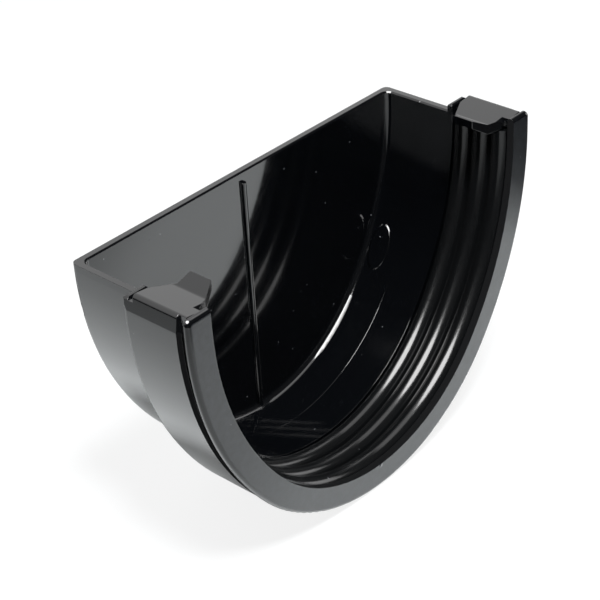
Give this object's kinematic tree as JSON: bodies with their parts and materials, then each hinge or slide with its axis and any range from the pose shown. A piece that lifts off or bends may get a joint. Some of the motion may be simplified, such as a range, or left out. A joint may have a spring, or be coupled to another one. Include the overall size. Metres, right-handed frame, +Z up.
{
  "type": "gutter end cap",
  "caption": "External stop end that closes a deep oval rain gutter: short trough with a flat end wall, rimmed socket with snap clips, and a ribbed rubber seal inside.",
  "frame": {"origin": "centre of the socket's mouth, in the plane of the rim's front face, at the level of the gutter's top edges", "axes": "+X across the gutter, +Y from the socket's mouth back to the end wall, along the gutter, +Z up"},
  "size_m": [0.1306, 0.0458, 0.0871],
  "materials": {
    "black_plastic": "moulded black gloss",
    "black_rubber": "smooth satin black"
  },
  "bodies": {
    "root": {"cap_body": "black_plastic", "socket_seal": "black_rubber"}
  },
  "joints": []
}
